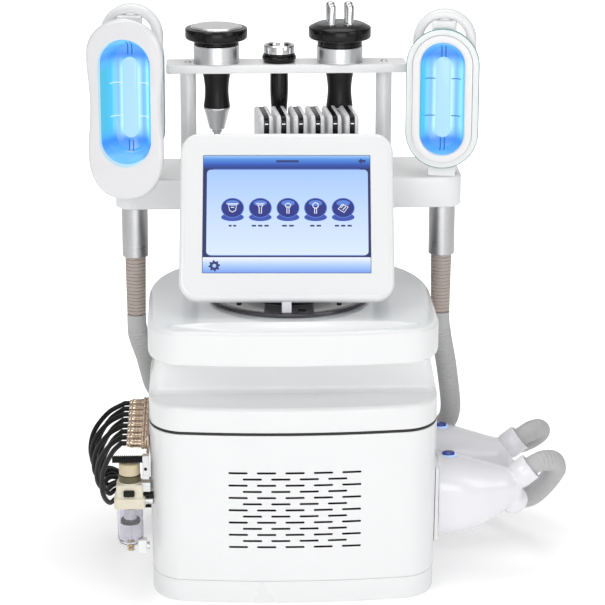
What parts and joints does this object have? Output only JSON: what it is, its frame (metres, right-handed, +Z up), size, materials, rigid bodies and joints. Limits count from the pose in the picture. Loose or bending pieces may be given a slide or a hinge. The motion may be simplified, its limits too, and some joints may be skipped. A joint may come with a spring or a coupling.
{
  "type": "body contouring machine",
  "caption": "Desktop body-contouring machine with a tilted touch screen, a shelf and rail of hand pieces, cooling handles with ribbed hoses, a fan-cooled cabinet, plug row and air filter.",
  "frame": {"origin": "centre of the cabinet's flat underside", "axes": "+Z up, the screen and vents face -Y, the plug row is at -X and the side handles at +X"},
  "size_m": [0.6228, 0.4064, 0.7225],
  "materials": {
    "painted_white": "gloss powder coat",
    "gloss_white": "gloss",
    "panel_grey": "satin",
    "gloss_black": "gloss",
    "tank_plastic": "translucent",
    "machine_grey": "satin",
    "board_green": "satin",
    "dark_gloss": "high gloss",
    "display_glass": "lit display under glass",
    "satin_silver": "satin",
    "bright_chrome": "polished",
    "clear_plastic": "clear moulded plastic",
    "cup_blue": "lit from inside",
    "brushed_tube": "brushed",
    "button_navy": "gloss",
    "hose_grey": "matte",
    "plug_champagne": "anodised",
    "cable_black": "satin",
    "filter_cream": "satin"
  },
  "bodies": {
    "machine": {"base_pan": "painted_white", "cabinet_shell": "painted_white", "upper_housing": "gloss_white", "top_lid": "gloss_white", "rear_panel": "panel_grey", "power_inlet": "gloss_black", "water_tank": "tank_plastic", "vacuum_pump": "machine_grey", "power_supply": "machine_grey", "control_board": "board_green", "accessory_shelf": "painted_white", "left_post": "painted_white", "right_post": "painted_white", "tool_rail": "painted_white", "side_holster": "gloss_white", "right_cryo_hose": "hose_grey", "left_cryo_hose": "hose_grey", "connector_block": "plug_champagne", "cable_loom": "cable_black", "filter_head": "filter_cream", "filter_bowl": "clear_plastic"},
    "fan": {"fan_rotor": "gloss_black"},
    "mains_switch": {"power_switch": "gloss_black"},
    "screen": {"screen_turntable": "dark_gloss", "screen_bracket": "gloss_white", "screen_bezel": "gloss_white", "display_panel": "display_glass", "screen_rear_cover": "gloss_white"},
    "cavitation_piece": {"cavitation_barrel": "satin_silver", "cavitation_grip": "gloss_black", "cavitation_head": "gloss_black", "cavitation_face": "satin_silver"},
    "face_rf_piece": {"face_rf_grip": "gloss_black", "face_rf_tip": "bright_chrome"},
    "body_rf_piece": {"body_rf_barrel": "satin_silver", "body_rf_grip": "gloss_black", "body_rf_head": "gloss_black", "body_rf_electrodes": "bright_chrome"},
    "pad_1": {"laser_pad_1": "gloss_white"},
    "pad_2": {"laser_pad_2": "gloss_white"},
    "pad_3": {"laser_pad_3": "gloss_white"},
    "pad_4": {"laser_pad_4": "gloss_white"},
    "pad_5": {"laser_pad_5": "gloss_white"},
    "pad_6": {"laser_pad_6": "gloss_white"},
    "right_cryo_handle": {"right_cryo_body": "gloss_white", "right_cryo_flange": "clear_plastic", "right_cryo_cup": "cup_blue", "right_cryo_stem": "brushed_tube"},
    "left_cryo_handle": {"left_cryo_body": "gloss_white", "left_cryo_flange": "clear_plastic", "left_cryo_cup": "cup_blue", "left_cryo_stem": "brushed_tube"},
    "contoured_cup": {"left_cryo_shroud": "gloss_white"},
    "front_side_handle": {"side_handle_front": "gloss_white", "side_hose_front": "hose_grey"},
    "rear_side_handle": {"side_handle_rear": "gloss_white", "side_hose_rear": "hose_grey"},
    "front_button": {"side_button_front": "button_navy"},
    "rear_button": {"side_button_rear": "button_navy"},
    "regulator_knob": {"filter_knob": "filter_cream"}
  },
  "joints": [
    {"name": "fan_spin", "type": "hinge", "parent": "machine", "child": "fan", "pos_m": [0.038, 0.1553, 0.128], "axis": [0, 1, 0], "continuous": true},
    {"name": "mains_switch_rock", "type": "hinge", "parent": "machine", "child": "mains_switch", "pos_m": [-0.052, 0.1653, 0.132], "axis": [1, 0, 0], "range_deg": [-9, 0]},
    {"name": "screen_swivel", "type": "hinge", "parent": "machine", "child": "screen", "pos_m": [-0.0015, 0.005, 0.3553], "axis": [0, 0, 1], "range_deg": [-8, 10]},
    {"name": "cavitation_lift", "type": "slide", "parent": "machine", "child": "cavitation_piece", "axis": [0, 0, 1], "range_m": [0, 0.11]},
    {"name": "face_rf_lift", "type": "slide", "parent": "machine", "child": "face_rf_piece", "axis": [0, 0, 1], "range_m": [0, 0.11]},
    {"name": "body_rf_lift", "type": "slide", "parent": "machine", "child": "body_rf_piece", "axis": [0, 0, 1], "range_m": [0, 0.11]},
    {"name": "pad_1_lift", "type": "slide", "parent": "machine", "child": "pad_1", "axis": [0, 0, 1], "range_m": [0, 0.04]},
    {"name": "pad_2_lift", "type": "slide", "parent": "machine", "child": "pad_2", "axis": [0, 0, 1], "range_m": [0, 0.04]},
    {"name": "pad_3_lift", "type": "slide", "parent": "machine", "child": "pad_3", "axis": [0, 0, 1], "range_m": [0, 0.04]},
    {"name": "pad_4_lift", "type": "slide", "parent": "machine", "child": "pad_4", "axis": [0, 0, 1], "range_m": [0, 0.04]},
    {"name": "pad_5_lift", "type": "slide", "parent": "machine", "child": "pad_5", "axis": [0, 0, 1], "range_m": [0, 0.04]},
    {"name": "pad_6_lift", "type": "slide", "parent": "machine", "child": "pad_6", "axis": [0, 0, 1], "range_m": [0, 0.04]},
    {"name": "right_cryo_lift", "type": "slide", "parent": "machine", "child": "right_cryo_handle", "axis": [0, 0, 1], "range_m": [0, 0.11]},
    {"name": "left_cryo_lift", "type": "slide", "parent": "machine", "child": "left_cryo_handle", "axis": [0, 0, 1], "range_m": [0, 0.11]},
    {"name": "contoured_cup_pull", "type": "slide", "parent": "left_cryo_handle", "child": "contoured_cup", "axis": [-0.1736, -0.9848, 0], "range_m": [0, 0.05]},
    {"name": "front_handle_pull", "type": "slide", "parent": "machine", "child": "front_side_handle", "axis": [1, 0, 0], "range_m": [0, 0.04]},
    {"name": "rear_handle_pull", "type": "slide", "parent": "machine", "child": "rear_side_handle", "axis": [1, 0, 0], "range_m": [0, 0.04]},
    {"name": "front_button_press", "type": "slide", "parent": "front_side_handle", "child": "front_button", "axis": [0, 0, -1], "range_m": [0, 0.0015], "stiffness_N_per_m": 400, "springref_m": -0.0005},
    {"name": "rear_button_press", "type": "slide", "parent": "rear_side_handle", "child": "rear_button", "axis": [0, 0, -1], "range_m": [0, 0.0015], "stiffness_N_per_m": 400, "springref_m": -0.0005},
    {"name": "regulator_turn", "type": "hinge", "parent": "machine", "child": "regulator_knob", "pos_m": [-0.206, -0.118, 0.167], "axis": [0, 0, 1], "range_deg": [0, 270]}
  ]
}
